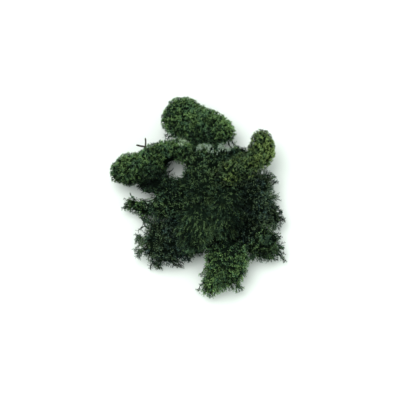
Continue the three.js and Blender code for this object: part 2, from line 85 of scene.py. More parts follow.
# Every tuft. The lobes follow the solids to within a few millimetres
TUFTS = {
    "head_top": Tuft(
        root=(2, 44, 2), spring=(4, 33, 2), length=4.7, loose=0.35, ragged=0.26, branches=0.4,
        dye="leaf", tone=0.48, reach=26, fade=0.25,
        lobes=(
            ((-11, 54.5, 16), (12.5, 12, 11.5), 0, 0, -0.03),
            ((8.5, 48, 14), (14, 8.5, 9.5), -22, 0, -0.05),
            ((2, 37.5, 8), (14, 5, 7), -8),
            ((5.5, 52.4, 13), (7, 4.2, 7), -30),
        ),
    ),
    "head_left": Tuft(
        root=(-24, 22, 2), spring=(-13, 19, 0), length=4.3, loose=0.35, ragged=0.26, branches=0.4,
        dye="leaf", tone=0.42, reach=28, fade=0.45,
        lobes=(
            ((-46.5, 19.3, 14), (12.8, 8.9, 9.5), 15, 4, -0.04),
            ((-22.5, 29, 14), (18, 8, 9), 13, 0, -0.05),
        ),
    ),
    "head_right": Tuft(
        root=(18, 10, 16), length=4.4, loose=0.45, ragged=0.24, branches=0.4,
        dye="lime", tone=0.45, reach=36, fade=0.35,
        lobes=(
            ((42.5, 32, 23), (11, 7, 8.5), 85, 5, -0.05),
            ((27.5, 17.5, 25), (15, 7, 8), 26, 0, 0.04),
        ),
    ),
    "tuft_centre": Tuft(
        root=(-1, 2, 27), length=6.2, stretch=1.3, lean=2.1, loose=0.7, ragged=0.3, tone=0.61, fade=0.1,
        lobes=(((-2, -19.5, 23), (15.5, 9.5, 8), 78, 8, -0.1),),
    ),
    "tuft_inner_right": Tuft(
        root=(16, 12, 28), length=6.2, stretch=1.3, lean=2.1, loose=0.7, ragged=0.3, tone=0.53, fade=0.05,
        lobes=(((18, -10, 25), (16.5, 9.5, 8), 86, 6, -0.1),),
    ),
    "tuft_mid": Tuft(
        root=(6, 14, 2), length=5.4, lean=0.7, tone=0.48, reach=20,
        lobes=(((-0.5, 4.5, 19), (15, 11.5, 8), -20),),
    ),
    "tuft_back": Tuft(
        root=(6, 14, 2), length=5.2, lean=0.6, ragged=0.3, tone=0.45, reach=24,
        lobes=(
            ((7, 24, 14), (20, 9.5, 11), 2),
            ((25, 29.5, 9), (8, 5, 7)),
        ),
    ),
    "tuft_inner_left": Tuft(
        root=(-6, 0, 0), length=5.2, lean=0.7, tone=0.4, reach=28,
        lobes=(
            ((-21, -1.5, 12.5), (17, 13, 11.5), -12),
            ((-32, 10.5, 8), (9.5, 7, 7), -10),
        ),
    ),
    "tuft_right": Tuft(
        root=(24, -2, 2), length=5.6, lean=0.7, ragged=0.6, dye="dusk", tone=0.37, reach=24, fade=0.5,
        lobes=(
            ((35.2, -4, 14), (12.6, 19, 12.5)),
            ((47, -13, 9), (8.5, 6, 7), -20),
            ((44.3, 11, 14), (4.4, 4.6, 5)),
        ),
    ),
    "tuft_low_right": Tuft(
        root=(26, -16, 2), length=4.8, loose=1.0, ragged=0.8, branches=0.5, tone=0.38,
        lobes=(((41.5, -30.5, 9), (14, 11, 7.5), -28, -2, -0.1),),
    ),
    "tuft_bottom": Tuft(
        root=(20, -22, 14), length=5.2, stretch=1.2, lean=1.8, loose=0.8, ragged=0.4,
        dye="leaf", tone=0.5, fade=0.35,
        lobes=(
            ((18.4, -45, 13), (16.3, 12.5, 11), 84, 6, -0.02),
            ((8.5, -58.5, 8), (8, 4.5, 6), 75, 6, 0),
        ),
    ),
    "tuft_low_left": Tuft(
        root=(-4, -14, 2), length=4.8, lean=0.7, loose=1.0, ragged=0.9, branches=0.85, dye="dusk", tone=0.4,
        lobes=(
            ((-19, -29, 11), (18.5, 15, 10), 24, 0, -0.08),
            ((-4, -34, 8), (9, 6.5, 6.5)),
        ),
    ),
    "spray_left": Tuft(
        root=(-26, -4, 8), length=3.6, loose=0.8, ragged=0.3, dye="leaf", tone=0.4, reach=20,
        lobes=(
            ((-40, -5.6, 8), (10, 4.8, 4.6), -22, -3, -0.1),
            ((-33.5, -12, 8), (6, 4, 4.5), -40),
            ((-45.3, -3.2, 8), (2.6, 2.4, 3.4)),
        ),
    ),
    "tuft_heart": Tuft(
        root=(8, -6, 0), length=3.2, lean=0.3, loose=0.8, dye="dusk", tone=0.3, reach=30,
        lobes=(
            ((7, -5.5, 10), (32, 24, 11.8), -38),
            ((12, 11.5, 18), (7, 6, 6)),
            ((30, -23.5, 15), (9, 8, 7)),
            ((9, -29.5, 14), (7, 7, 6)),
        ),
    ),
}
CREASE, FILL = 6.0, 2.6  # mm: how near another lobe the sprigs grow longer, and by how much in the crease
HEAVE = 0.36  # how much longer or shorter the sprigs on top are from one hump or hollow to the next
BUNCH, BUNCH_REACH = 5.2, 3.4  # mm: from the middle of a small bunch of sprigs to the next, and to its edge
SUNK = 0.3  # mm: how deep a sprig's foot is sunk in its tuft
STUMP = 0.3  # how much of a solid's branches the dark core keeps
UNDERSIDE = -0.35, 0.5  # the normal's Z below which a place is underside, and the share that grows there
HEADS = ("head_top", "head_left", "head_right")
UPPER_TUFTS = ("tuft_centre", "tuft_inner_right", "tuft_mid")
OUTER_TUFTS = (
    "tuft_back", "tuft_inner_left", "tuft_right", "tuft_low_right", "tuft_bottom", "tuft_low_left",
    "spray_left",
)
HEART = ("tuft_heart",)

# Gaps that stay open between the tufts, as the camera looks through them: a place across and up in view,
# half sizes, and how much wider the gap grows from GAP_TOP down to the table. All in millimetres
GAP_TOP = 17.0
CLEAR = (
    ((-16.2, 21.6), (4.5, 3.4), 0.7),
    ((-15.3, 19.2), (2.9, 2.9), 0.7),
    ((-20.4, 20.4), (2.5, 2.4), 0.7),
    ((-48.5, 4.9), (8, 2.2), 0.7),
    ((-40, 3.3), (6, 2.5), 0.7),
    ((20.5, 38), (3.6, 1.6), 0.7),
    ((30, 41.5), (5.2, 3.4), 0.7),
    ((27.8, 56.5), (3.4, 4.5), 0.7),
    ((-5, -47), (5.5, 3.8), 0.6),
    ((-1, -43.6), (4.2, 3.4), 0.6),
    ((54.6, 4), (2.6, 6.3), 0.3),
    ((58, -31.4), (3.4, 1.9), 0.3),
)
# The see-through hole slants towards the light between two heights, so that light reaches the table in it:
# a place and half sizes as above, and how far it shifts across and up in view for each millimetre
SCOOP = (-17.5, 20.8), (4.3, 3.4)
SCOOP_LOW, SCOOP_HIGH = 9.0, 22.0
SCOOP_SLANT = -0.249, 0.39

# Creases with pale sprigs, painted light that shows through between the tufts: places and half sizes as
# above, and the share of the sprigs there that are painted pale
PAINTED_LIGHT_CREASES = (
    ((-11.4, 40.6), (4, 2.1)),
    ((3, 36.7), (6.2, 2.1)),
    ((9.6, 33.8), (3.8, 2.2)),
    ((17, 36.6), (4.6, 2.8)),
    ((-35, -1.6), (2.2, 1.8)),
)
PAINTED_LIGHT_SHARE = 0.72

# Thin branches that stray out of a tuft: places in millimetres, from where they leave it to their tips
STRAYS = {
    "tuft_low_left": (
        ((-25.9, -42.5, 7), (-18.2, -45.7, 5), (-11.2, -48.9, 3)),
        ((-19.6, -41.6, 6), (-15.4, -44.9, 5), (-12.6, -47.5, 3.5)),
        ((-33.6, -40.1, 6), (-32.9, -44.9, 5), (-35, -48.9, 3.5)),
        ((-30.8, -41.6, 6), (-29.4, -45.7, 5), (-28, -49.7, 3.5)),
        ((-34.3, -25.2, 10), (-38.5, -19.4, 9.5), (-41.3, -13.7, 9)),
        ((-35.7, -29.8, 8), (-40.6, -29.1, 8), (-44.8, -27.5, 7)),
        ((-36.4, -21.5, 9), (-39.9, -20.8, 9), (-42.7, -22.1, 8.5)),
        ((-23.1, -41.7, 7), (-19.6, -44.9, 5), (-16.8, -47.5, 3.5)),
        ((-18.9, -42.3, 6), (-14.7, -44.2, 5), (-11.2, -46.2, 4)),
    ),
    "tuft_right": (
        ((44.8, 9.6, 14), (49, 11.7, 14), (52.5, 14.6, 14)),
        ((44.8, 11.7, 14), (47.6, 14.6, 14), (50.4, 16.8, 13.5)),
        ((47.6, 7.5, 14), (51.1, 9.6, 14), (53.2, 11.2, 13)),
        ((49, -7.8, 12), (52.5, -6.4, 12), (55.3, -6.3, 11.5)),
        ((49.7, -9.9, 12), (53.9, -9.2, 12), (57.4, -10.6, 11.5)),
        ((50.4, -12.6, 11), (55.3, -14, 11), (59.5, -17.4, 10)),
    ),
    "tuft_low_right": (
        ((49, -25.2, 10), (52.5, -25.9, 10), (56, -27.9, 9)),
        ((46.2, -37.7, 8), (51.8, -38.4, 8), (55.9, -40.8, 7), (58.7, -43.4, 5.8)),
        ((49.6, -35.9, 8), (53.6, -37.2, 8), (57.4, -39.6, 7.5)),
        ((50.6, -38.3, 8), (55, -39.6, 7.5), (58.6, -41.9, 6.8)),
        ((49, -36.9, 8), (53.9, -37.3, 8), (56.7, -34.8, 8), (58.8, -35.4, 7.5)),
        ((43.4, -39.8, 8), (49, -42.4, 6.5), (53.9, -43.5, 5)),
        ((40.6, -39.8, 8), (44.1, -41.7, 7), (46.9, -42.6, 6)),
        ((46.2, -34.8, 8), (50.4, -38.4, 8), (55.3, -39, 7.5)),
        ((44.8, -37.7, 8), (49.7, -40.3, 7), (54.6, -41.9, 6)),
        ((47.6, -36.4, 9), (51.8, -35.7, 9), (55.3, -37.3, 8)),
    ),
    "head_top": (
        ((20.3, 42.8, 11), (23.1, 38.7, 10), (25.2, 34.7, 9)),
        ((17.5, 41.2, 12), (20.3, 37.1, 11), (23.1, 33, 10)),
        ((-19.6, 47.6, 12), (-22.4, 45.7, 11), (-24.1, 43.4, 10)),
        ((-18.9, 45.5, 12), (-21, 43.5, 11), (-22.4, 41.9, 10)),
    ),
    "tuft_inner_left": (
        ((-28, 13.5, 12), (-24.5, 17.8, 12), (-21.7, 21.5, 11)),
        ((-29.4, 17.8, 12), (-24.5, 20.8, 11), (-20.3, 24.4, 11)),
        ((-25.9, 11.4, 12), (-22.4, 15.1, 11), (-20.3, 18.8, 10)),
        ((-30.1, 20.6, 12), (-25.9, 22.8, 12), (-22.4, 25.6, 12)),
        ((-27.3, 16, 10), (-22.4, 18.3, 9), (-18.2, 20.6, 8)),
    ),
    "tuft_bottom": (
        ((4.2, -49.4, 10), (1.4, -52.8, 9), (-0.7, -55.4, 8)),
        ((2.8, -58.3, 8), (0, -61.6, 7), (-1.4, -65, 6)),
    ),
    "spray_left": (
        ((-47.5, -5.7, 8), (-49.9, -6.7, 8), (-51.6, -5.2, 8.4), (-52.8, -6.3, 8.2), (-52.6, -7.9, 7.8)),
    ),
}

# Soft spots of painted shade and light, darker where hollows and overhanging tufts lie in shade and paler
# where humps catch the light: places and half sizes as above, and the change of tone
SHADE_AND_LIGHT_SPOTS = (
    ((-34, 11.5), (12, 8), -0.42),
    ((30, 0), (8, 14), -0.23),
    ((27, -19), (11, 9), -0.26),
    ((-9, -30), (10, 8), -0.32),
    ((-3, 7), (8, 8), -0.13),
    ((-18, 10.5), (9, 4), -0.12),
    ((3, 52), (7, 10), -0.16),
    ((8, 41), (10, 4), -0.16),
    ((-9, 34), (6, 3.5), -0.16),
    ((18, 31), (8, 5), -0.2),
    ((19, -54.5), (8, 7), -0.24),
    ((-36, -13), (6, 5), -0.1),
    ((-21, 61), (9, 9), -0.1),
    ((-57, 17), (7, 9), -0.12),
    ((-45, 9), (10, 4), -0.16),
    ((33, 33), (5, 5), -0.12),
    ((-26, 33), (16, 7), -0.1),
    ((-9, 66), (15, 7), 0.04),
    ((18.5, 53), (9, 10), 0.21),
    ((48.5, 33), (5, 8), 0.13),
    ((44, 46.5), (8, 4), -0.08),
    ((3, 36), (10, 3), 0.1),
    ((24, 24), (9, 6), 0.13),
    ((18, 9), (10, 5), 0.14),
    ((48, 2), (5, 10), 0.2),
    ((45, -20), (9, 7), 0.17),
    ((-37, -32), (6.5, 10), 0.26),
    ((-20, -30), (7, 4), 0.1),
    ((8, -64), (11, 5), 0.1),
    ((31, -40), (5, 11), 0.14),
    ((-33, -17), (8, 6), 0.1),
    ((-4, -13), (7, 11), 0.16),
    ((17, 3), (12, 6), 0.14),
    ((-38, 0), (7, 3), 0.1),
    ((7, 21), (5, 5), 0.12),
    ((-14, -14), (5, 6), -0.09),
    ((12, -45), (14, 5), 0.07),
)

# Bare twigs: their places from the root to the tip, and their radius, in millimetres
TWIGS = {
    "twig_lying": (((-34, 31.5, 16), (-39, 34.8, 17), (-41.7, 35.2, 17.2), (-44.4, 35.9, 17.6)), 0.7),
    "twig_upright": (((-37.3, 30, 15), (-38, 35, 17), (-37.8, 38, 18), (-38.1, 40.6, 18.4)), 0.55),
}


def length(name, use, millimetres):
    return FloatProperty(name=name, description=use, default=millimetres * MM, min=0.1 * MM, unit="LENGTH")


class MossSizes(bpy.types.PropertyGroup):
    spacing: length("Spacing", "Distance between neighbouring sprigs", 0.95)
    thickness: length("Thickness", "Radius of a sprig's stem", 0.18)
    variants: IntProperty(name="Variants", description="Different sprigs that are modelled", default=4, min=1)
    camera_height: FloatProperty(
        name="Camera elevation", description="Angle of the camera above the table",
        default=CAMERA_HEIGHT, subtype="ANGLE",
    )
    view_width: length("View width", "Width that the picture takes in", 280)


def dye(name, use, colour):
    return FloatVectorProperty(name=name, description=use, default=colour, subtype="COLOR", min=0, max=1)


class MossColours(bpy.types.PropertyGroup):
    # Deep is partly the stems' darker dye and partly painted shade deep between the branches
    deep: dye("Deep", "Dye deep between the branches", (0.005, 0.010, 0.006))
    leaf: dye("Leaf", "Tips of the green heads", (0.178, 0.335, 0.165))
    lime: dye("Lime", "Tips of the yellowish head", (0.226, 0.362, 0.155))
    sea: dye("Sea", "Tips of the bluish tufts", (0.136, 0.247, 0.145))
    dusk: dye("Dusk", "Tips of the darkest tufts", (0.106, 0.176, 0.13))
    bark: dye("Bark", "Bare twigs", (0.035, 0.024, 0.02))
    table: dye("Table", "The table under the clump", (0.86, 0.86, 0.86))


# Shader building


class Value:
    """A number that varies over a surface. Python's operators add Math nodes to it."""

    def __init__(self, shader, socket):
        self.shader, self.socket = shader, socket

    def maths(self, operation, *others):
        values = dict(enumerate([self, *others]))
        return self.shader.value("ShaderNodeMath", {"operation": operation}, values)

    def __add__(self, other):
        return self.maths("ADD", other)

    def __sub__(self, other):
        return self.maths("SUBTRACT", other)

    def __rsub__(self, other):
        return self.shader.value("ShaderNodeMath", {"operation": "SUBTRACT"}, {0: other, 1: self})

    def __mul__(self, other):
        return self.maths("MULTIPLY", other)

    __radd__ = __add__

    def between(self, low, high):
        """0 below low, 1 above high, with a soft rise between them."""
        return self.shader.value(
            "ShaderNodeMapRange", {"interpolation_type": "SMOOTHSTEP"},
            {"Value": self, "From Min": low, "From Max": high},
        )


class Shader:
    """A material's nodes."""

    def __init__(self, name):
        self.material = bpy.data.materials.new(name)
        self.material.use_nodes = True
        self.tree = self.material.node_tree
        self.surface = self.tree.nodes["Principled BSDF"]

    def node(self, kind, settings, values):
        made = self.tree.nodes.new(kind)
        for name, setting in settings.items():
            setattr(made, name, setting)
        self.fill(made, values)
        return made

    def fill(self, node, values):
        for name, value in values.items():
            socket = node.inputs[name]
            if isinstance(value, Value):
                self.tree.links.new(value.socket, socket)
            else:
                socket.default_value = value

    def value(self, kind, settings, values, output=0):
        return Value(self, self.node(kind, settings, values).outputs[output])

    def noise(self, place, scale, detail, **settings):
        values = {"Vector": place, "Scale": scale, "Detail": detail}
        return self.value("ShaderNodeTexNoise", settings, values)

    def mix(self, share, first, second):
        return self.value("ShaderNodeMix", {"data_type": "RGBA"}, {0: share, 6: first, 7: second}, output=2)


# What each hue does to a dye: dry, plain, sea, ash, and the pale hue that paints light in the creases
TINTS = ((1.22, 1.08, 0.8), (1.0, 1.0, 1.0), (0.88, 0.96, 1.2), (1.25, 1.0, 1.45), (2.35, 1.6, 2.2))


def solid_colour(colour, share=1.0):
    return (*(share * channel for channel in colour), 1.0)


def moss_finish(name, deep, tips):
    """Dyed moss: nearly black at the foot of a sprig, partly darker dye and partly painted shade deep among
    the branches, green along it and bright at its tips.
    """
    shader = Shader(name)
    place = shader.value("ShaderNodeUVMap", {"uv_map": MAP}, {})
    parts = shader.node("ShaderNodeSeparateXYZ", {}, {0: place})
    column, tone = Value(shader, parts.outputs[0]), Value(shader, parts.outputs[1])
    along = (column * HUES).maths("FRACT")
    grain = shader.noise(place, 38.0, 2.0, noise_dimensions="2D")
    shader.fill(grain.socket.node, {"Roughness": 0.6})
    tint = shader.value("ShaderNodeValToRGB", {}, {"Fac": column})
    stops = tint.socket.node.color_ramp
    stops.interpolation = "CONSTANT"
    while len(stops.elements) < HUES:
        stops.elements.new(0.5)
    for number, (stop, colour) in enumerate(zip(stops.elements, TINTS)):
        stop.position, stop.color = number / HUES, solid_colour(colour, 0.5)
    # Near black at the foot: partly darker dye, partly painted shade deep in the clump
    colour = shader.mix(along.between(0.25, 0.55), solid_colour(deep), solid_colour(tips, 0.2))
    colour = shader.mix(along.between(0.45, 0.85), colour, solid_colour(tips))
    colour = shader.value("ShaderNodeVectorMath", {"operation": "MULTIPLY"}, {0: colour, 1: tint})
    # The square makes the few palest sprigs stand out from the rest
    light = tone * 1.9 + grain * 0.6 - 0.25
    light = light * light * 1.5 + 0.1
    colour = shader.value("ShaderNodeVectorMath", {"operation": "SCALE"}, {0: colour, "Scale": light})
    bump = shader.value("ShaderNodeBump", {}, {"Strength": 0.5, "Distance": 0.05 * MM, "Height": grain})
    values = {
        "Base Color": colour,
        "Roughness": 0.92 - along * 0.18 - grain * 0.1,
        "Normal": bump,
        "Specular IOR Level": 0.02,
    }
    shader.fill(shader.surface, values)
    return shader.material


def bark_finish(bark):
    """The brown skin of a bare twig, with paler flecks."""
    shader = Shader("twig_bark")
    place = shader.value("ShaderNodeTexCoord", {}, {}, output="Object")
    grain = shader.noise(place, 2600.0, 3.0)
    colour = shader.mix(grain.between(0.35, 0.7), solid_colour(bark, 0.5), solid_colour(bark, 1.7))
    bump = shader.value("ShaderNodeBump", {}, {"Strength": 0.7, "Distance": 0.06 * MM, "Height": grain})
    shader.fill(shader.surface, {"Base Color": colour, "Roughness": 0.65 + grain * 0.3, "Normal": bump})
    return shader.material


def table_finish(colour):
    shader = Shader("white_table")
    place = shader.value("ShaderNodeTexCoord", {}, {}, output="Object")
    grain = shader.noise(place, 30.0, 2.0)
    made = shader.mix(grain, solid_colour(colour, 0.985), solid_colour(colour))
    values = {"Base Color": made, "Roughness": 0.85 + grain * 0.05, "Specular IOR Level": 0.1}
    shader.fill(shader.surface, values)
    return shader.material


# Sprigs, modelled with Blender's own tools


def added(name):
    """The object that the last operator added, now with a name."""
    made = bpy.context.object
    made.name = made.data.name = name
    return made


def new_shape(name):
    """The mesh object that the last operator added, open in edit mode with nothing selected."""
    made = added(name)
    bpy.ops.object.transform_apply(location=True, rotation=True, scale=True)
    bpy.ops.object.mode_set(mode="EDIT")
    bpy.ops.mesh.select_mode(type="FACE")
    bpy.ops.mesh.select_all(action="DESELECT")
    return made


def select_only(mesh, shape, items):
    for item in (*shape.verts, *shape.edges, *shape.faces):
        item.select_set(False)
    for item in items:
        item.select_set(True)
    bmesh.update_edit_mesh(mesh)


def seat(face):
    """A face's middle and normal, by which it is found again."""
    return face.calc_center_median(), face.normal.copy()


def pick(mesh, test):
    """Selects the faces that pass the test and nothing else, and returns their seats."""
    shape = bmesh.from_edit_mesh(mesh)
    passed = [face for face in shape.faces if test(face)]
    found = [seat(face) for face in passed]
    select_only(mesh, shape, passed)
    return found


def pick_end(mesh, end):
    """Selects the one face with this seat, and returns its middle."""
    middle, normal = end
    near = 0.02 * MM
    found = pick(mesh, lambda face: (seat(face)[0] - middle).length < near and face.normal.dot(normal) > 0.9)
    return found[0][0]


def draw_out(mesh, end, way, share):
    """Extrudes an end face by a vector and scales it. Returns the seats of the new sides and of the end."""
    middle = pick_end(mesh, end)
    bpy.ops.mesh.extrude_region_move(TRANSFORM_OT_translate={"value": way})
    bpy.ops.transform.resize(value=(share,) * 3, center_override=middle + way)
    shape = bmesh.from_edit_mesh(mesh)
    (top,) = [face for face in shape.faces if face.select]
    return [seat(face) for edge in top.edges for face in edge.link_faces if face is not top], seat(top)


def spike(mesh, end, way):
    """Turns an end face into a thin point that stands a vector away from its middle."""
    pick_end(mesh, end)
    before = len(bmesh.from_edit_mesh(mesh).verts)
    bpy.ops.mesh.poke(offset=0.0)
    shape = bmesh.from_edit_mesh(mesh)
    shape.verts.ensure_lookup_table()
    select_only(mesh, shape, [shape.verts[before]])
    bpy.ops.transform.translate(value=way)


def crown(mesh, end, way, out, rise, random):
    """Draws a collar out of an end, an arm with an upturned point out of each of its sides, and a leader."""
    up = way.normalized()
    round_it, top = draw_out(mesh, end, up * 0.3 * MM, 0.95)
    for side in round_it:
        turned = side[1] + up.cross(side[1]) * random.uniform(-0.5, 0.5)
        reach = turned * out * random.uniform(0.6, 1.3) + up * rise * random.uniform(0.2, 1.0)
        _, tip = draw_out(mesh, side, reach, 0.55)
        point = turned * random.uniform(0.0, 0.6) + up * random.uniform(0.3, 0.8)
        spike(mesh, tip, point * 0.9 * MM)
    spike(mesh, top, up * random.uniform(0.8, 1.3) * MM)


def star(mesh, end, way, size, random):
    """Swells the end of a branch into a bud and turns the bud's faces into points."""
    up = way.normalized()
    round_it, top = draw_out(mesh, end, up * 0.3 * size, 1.1)
    for side in round_it:
        turned = (side[1] * 0.9 + up * random.uniform(0.2, 0.9)).normalized()
        spike(mesh, side, turned * size * random.uniform(0.7, 1.2))
    spike(mesh, top, up * size * random.uniform(0.8, 1.3))


def fork(mesh, end, way, rise, out, random):
    """Draws a collar out of an end, an arm out of one of its sides and points out of the others."""
    up = way.normalized()
    (side, *others), top = draw_out(mesh, end, up * 0.3 * MM, 0.9)
    reach = side[1] * out * random.uniform(0.8, 1.2) + up * rise * random.uniform(0.4, 0.9)
    _, arm = draw_out(mesh, side, reach, 0.7)
    for other in others:
        spike(mesh, other, (other[1] + 0.8 * up) * out * random.uniform(0.6, 0.9))
    leader = up * rise * random.uniform(0.8, 1.2) - Vector((reach.x, reach.y, 0)) * 0.5
    _, far = draw_out(mesh, top, leader, 0.8)
    return (arm, reach), (far, leader)


def stem(name, radius, heights, bends):
    """A three-sided stem that bends a little at every height. Returns the object and its far end."""
    foot = -0.6 * MM
    bpy.ops.mesh.primitive_cylinder_add(vertices=3, radius=radius, depth=heights[0] - foot)
    bpy.context.object.location.z = (heights[0] + foot) / 2
    made = new_shape(name)
    (end,) = pick(made.data, lambda face: face.normal.z > 0.9)
    for low, high, bend in zip(heights, heights[1:], bends):
        way = Vector((*bend, high - low))
        _, end = draw_out(made.data, end, way, 0.92)
    return made, end, way


def close_shape(made):
    bpy.ops.mesh.select_all(action="SELECT")
    bpy.ops.mesh.quads_convert_to_tris()
    bpy.ops.mesh.normals_make_consistent(inside=False)
    bpy.ops.object.mode_set(mode="OBJECT")
    return made


def sideways(far, random):
    """A step in X and Y, of up to a distance in millimetres either way."""
    return random.uniform(-far, far) * MM, random.uniform(-far, far) * MM


def head_sprig(name, radius, random):
    """A short sprig of a close head."""
    made, end, way = stem(name, radius, (2.0 * MM, 3.4 * MM), (sideways(0.3, random),))
    crown(made.data, end, way, 0.85 * MM, 0.8 * MM, random)
    return close_shape(made)


def strand_sprig(name, radius, random):
    """A sprig of a streaky tuft: longer, with steep arms."""
    made, end, way = stem(name, radius, (1.4 * MM, 2.6 * MM), (sideways(0.5, random),))
    crown(made.data, end, way, 0.8 * MM, 2.3 * MM, random)
    return close_shape(made)


def lace_sprig(name, radius, random):
    """An open sprig for the ragged edges: one fork, and a star on each of its two branches."""
    made, end, way = stem(name, radius, (1.4 * MM, 2.6 * MM), (sideways(0.5, random),))
    for far, reach in fork(made.data, end, way, 1.5 * MM, 1.1 * MM, random):
        star(made.data, far, reach, 0.7 * MM, random)
    return close_shape(made)


def bare_rod(name, radius, _):
    """A bent, tapering piece of branch, 4 mm long."""
    heights = (0.9 * MM, 1.9 * MM, 2.9 * MM, 4.0 * MM)
    bends = ((0.25 * MM, 0.1 * MM), (-0.1 * MM, 0.2 * MM), (-0.2 * MM, -0.2 * MM))
    made, _, _ = stem(name, radius, heights, bends)
    return close_shape(made)


def taken_out(made):
    """An object's corners in millimetres and its triangles, sorted. The object is removed."""
    mesh = made.data
    points = np.array([vertex.co for vertex in mesh.vertices]) / MM
    faces = np.array(sorted(tuple(face.vertices) for face in mesh.polygons))
    bpy.data.objects.remove(made)
    bpy.data.meshes.remove(mesh)
    return points, faces


def norms(vectors):
    return np.linalg.norm(vectors, axis=1)


def unit(vectors):
    return vectors / np.maximum(norms(vectors), 1e-9)[:, None]


class Pattern:
    """A modelled sprig as arrays: corners in millimetres, triangles, and where each corner is on the map."""

    POINTED = 0.34  # how much further along the map a sharp point is than the stem beside it
    CROWN = 2.5  # mm: above this height the tone changes across the sprig

    def __init__(self, made):
        self.points, self.faces = taken_out(made)
        x, y, z = self.points.T
        self.length = float(z.max())
        far = norms(self.points)
        along = np.clip(np.where(z < 0, 0, far / far.max()), 0, 1)
        sharp = (np.bincount(self.faces.ravel(), minlength=len(self.points)) <= 4) & (z > 0)
        self.along = np.clip((1 - self.POINTED) * along + self.POINTED * sharp, 0, 1)
        rng = np.random.default_rng(len(self.points))
        self.wobble = 0.012 * rng.uniform(-1, 1, len(self.points))
        turn = rng.uniform(0, 6, 3)
        self.wobble += 0.09 * (np.sin(3.3 * x + turn[0]) + np.sin(3.3 * y + turn[1])) * (z > self.CROWN)


PATTERNS = {"head": [], "strand": [], "lace": [], "rod": []}


# Lobes of a tuft, in millimetres


class Lobe:
    """An egg-shaped form with soft bumps that a tuft's sprigs grow out of."""

    BUMP = 0.045

    def __init__(self, centre, halves, turn=0, pitch=0, swell=0):
        t, p = math.radians(turn), math.radians(pitch)
        about_z = np.array([[math.cos(t), -math.sin(t), 0], [math.sin(t), math.cos(t), 0], [0, 0, 1]])
        about_y = np.array([[math.cos(p), 0, math.sin(p)], [0, 1, 0], [-math.sin(p), 0, math.cos(p)]])
        self.turned = about_z @ about_y
        self.centre, self.halves, self.swell = np.array(centre, float), np.array(halves, float), swell
        self.phase = 0.37 * centre[0] + 0.53 * centre[1]

    def factor(self, u):
        """How much further out than an ellipsoid the surface is in each direction."""
        x, y, z = u.T
        wave = np.sin(5.1 * x + 2.3 * z + self.phase) * np.sin(4.3 * y - 3.1 * x + self.phase)
        wave = wave + 0.6 * np.sin(7.7 * z + 6.1 * y + 2 * self.phase)
        return 1 + self.swell * x + self.BUMP * wave

    def surface(self, u):
        """The place on the surface in each direction, given along the lobe's own axes."""
        return (u * self.halves * self.factor(u)[:, None]) @ self.turned.T + self.centre

    def own(self, points):
        """Points along the lobe's own axes, from its centre."""
        return (points - self.centre) @ self.turned

    def depth(self, points, grown=0.0):
        """Above 1 outside the lobe grown by some millimetres, below 1 inside it."""
        u = self.own(points) / (self.halves + grown)
        far = np.maximum(norms(u), 1e-6)
        return far / self.factor(u / far[:, None])

    def inwards(self, points):
        """The place on the surface straight between each point and the centre."""
        u = self.own(points) / self.halves
        return self.surface(u / np.maximum(norms(u), 1e-6)[:, None])

    def normal(self, points):
        n = (self.own(points) / self.halves**2) @ self.turned.T
        return n / norms(n)[:, None]

    def scatter(self, gap, rng):
        """Random places, equally dense all over the surface, seven for each square of the gap."""
        a, b, c = self.halves
        area = 4 * math.pi * ((a * b) ** 1.6 / 3 + (a * c) ** 1.6 / 3 + (b * c) ** 1.6 / 3) ** (1 / 1.6)
        count = int(area / gap**2 * 7)
        u = rng.normal(size=(4 * count, 3))
        u /= norms(u)[:, None]
        dense = norms(u / self.halves)
        u = u[rng.uniform(0, dense.max(), len(u)) < dense][:count]
        return self.surface(u)


LOBES = {name: [Lobe(*lobe) for lobe in tuft.lobes] for name, tuft in TUFTS.items()}


def inside_any(points, names, grown=0.0):
    found = np.zeros(len(points), bool)
    for name in names:
        for lobe in LOBES[name]:
            found |= lobe.depth(points, grown) < 1
    return found


def in_view(points):
    """How far across and how far up the camera sees points."""
    return points[:, 0], SIGHT[0] * points[:, 1] + SIGHT[1] * points[:, 2]


def off_middle(across, up, middle, halves):
    """How far out places in view lie in an ellipse: 0 at its middle and 1 on its edge."""
    return np.hypot((across - middle[0]) / halves[0], (up - middle[1]) / halves[1])


def in_painted_light(points):
    """Whether points stand in a crease where sprigs are painted pale, as painted light showing through
    between the tufts.
    """
    return np.any([off_middle(*in_view(points), *crease) < 1 for crease in PAINTED_LIGHT_CREASES], axis=0)


def in_clear_air(points, margin=0.0):
    """Whether points stand in one of the gaps that stay open, or near it."""
    across, up = in_view(points)
    low = np.clip((GAP_TOP - points[:, 2]) / GAP_TOP, 0, 1)
    found = [off_middle(across, up, *gap) < 1 + flare * low + margin for *gap, flare in CLEAR]
    above = np.clip(points[:, 2], SCOOP_LOW, SCOOP_HIGH) - SCOOP_LOW
    across, up = across - SCOOP_SLANT[0] * above, up - SCOOP_SLANT[1] * above
    return np.any([*found, off_middle(across, up, *SCOOP) < 1 + margin], axis=0)


def beside_a_gap(face):
    """Whether a face lies in a gap or on its edge."""
    across, up = in_view(np.array([face.calc_center_median() / MM]))
    return any(off_middle(across, up, *gap)[0] < 2 + flare for *gap, flare in CLEAR)


def shade_and_light_at(points):
    """The painted shade and light that the soft spots add to the tone."""
    across, up = in_view(points)
    return sum(tone * np.exp(-off_middle(across, up, *spot) ** 2) for *spot, tone in SHADE_AND_LIGHT_SPOTS)


def step_aside(points, homes):
    """Draws points that stand in a gap, or close beside it, home until they are out of it."""
    moved = points.copy()
    for _ in range(30):
        inside = in_clear_air(moved, 0.6)
        moved[inside] += 0.06 * (homes[inside] - moved[inside])
    return moved


def chosen(kept, *arrays):
    return [values[kept] for values in arrays]


def tree_of(points):
    tree = kdtree.KDTree(len(points))
    for index, point in enumerate(points):
        tree.insert(point, index)
    tree.balance()
    return tree


